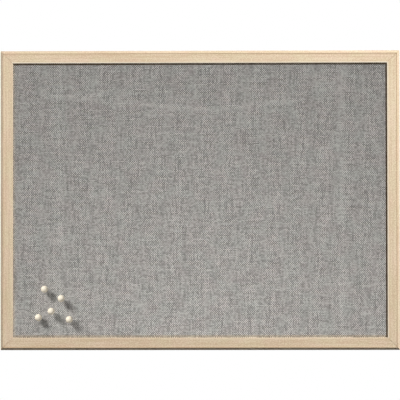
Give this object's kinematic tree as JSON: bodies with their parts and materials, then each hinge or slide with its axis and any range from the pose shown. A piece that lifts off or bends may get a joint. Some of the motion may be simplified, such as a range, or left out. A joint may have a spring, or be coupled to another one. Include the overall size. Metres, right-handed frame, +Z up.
{
  "type": "notice board",
  "caption": "Wall notice board: mitred wooden frame round a fabric-covered pin core, with wooden ball pins in the cloth and hanging rings on the back.",
  "frame": {"origin": "on the back face of the top rail, at its middle, where the board lies on the wall", "axes": "+X to the viewer's right along the board's width, +Y into the wall, +Z up; the front looks along -Y"},
  "size_m": [0.8, 0.0412, 0.6],
  "materials": {
    "pine": "matte",
    "linen_look_cloth": "matte",
    "softboard": "matte",
    "hardboard": "matte",
    "zinc_steel": "satin",
    "beech": "satin",
    "needle_steel": "polished"
  },
  "bodies": {
    "board": {"frame_rail_top": "pine", "frame_rail_right": "pine", "frame_rail_bottom": "pine", "frame_rail_left": "pine", "v_nail_1": "zinc_steel", "v_nail_2": "zinc_steel", "v_nail_3": "zinc_steel", "v_nail_4": "zinc_steel", "point_top_1": "zinc_steel", "point_top_2": "zinc_steel", "point_top_3": "zinc_steel", "point_top_4": "zinc_steel", "point_right_1": "zinc_steel", "point_right_2": "zinc_steel", "point_right_3": "zinc_steel", "point_bottom_1": "zinc_steel", "point_bottom_2": "zinc_steel", "point_bottom_3": "zinc_steel", "point_bottom_4": "zinc_steel", "point_left_1": "zinc_steel", "point_left_2": "zinc_steel", "point_left_3": "zinc_steel", "fabric_cover": "linen_look_cloth", "softboard_core": "softboard", "backing_board": "hardboard", "hanger_plate_left": "zinc_steel", "hanger_plate_right": "zinc_steel", "hanger_screw_left": "zinc_steel", "hanger_screw_right": "zinc_steel"},
    "ring_left": {"hanger_ring_left": "zinc_steel"},
    "ring_right": {"hanger_ring_right": "zinc_steel"},
    "pin_1": {"pin_1_head": "beech", "pin_1_needle": "needle_steel"},
    "pin_2": {"pin_2_head": "beech", "pin_2_needle": "needle_steel"},
    "pin_3": {"pin_3_head": "beech", "pin_3_needle": "needle_steel"},
    "pin_4": {"pin_4_head": "beech", "pin_4_needle": "needle_steel"},
    "pin_5": {"pin_5_head": "beech", "pin_5_needle": "needle_steel"}
  },
  "joints": [
    {"name": "ring_left_turn", "type": "hinge", "parent": "board", "child": "ring_left", "pos_m": [-0.3915, 0.0024, -0.0615], "axis": [1, 0, 0], "range_deg": [0, 180]},
    {"name": "ring_right_turn", "type": "hinge", "parent": "board", "child": "ring_right", "pos_m": [0.3915, 0.0024, -0.0615], "axis": [1, 0, 0], "range_deg": [0, 180]},
    {"name": "pin_1_pull", "type": "slide", "parent": "board", "child": "pin_1", "axis": [0, -1, 0], "range_m": [-0.0053, 0.0073]},
    {"name": "pin_2_pull", "type": "slide", "parent": "board", "child": "pin_2", "axis": [0, -1, 0], "range_m": [-0.0056, 0.007]},
    {"name": "pin_3_pull", "type": "slide", "parent": "board", "child": "pin_3", "axis": [0, -1, 0], "range_m": [-0.006, 0.0066]},
    {"name": "pin_4_pull", "type": "slide", "parent": "board", "child": "pin_4", "axis": [0, -1, 0], "range_m": [-0.0028, 0.0098]},
    {"name": "pin_5_pull", "type": "slide", "parent": "board", "child": "pin_5", "axis": [0, -1, 0], "range_m": [-0.0043, 0.0083]}
  ]
}
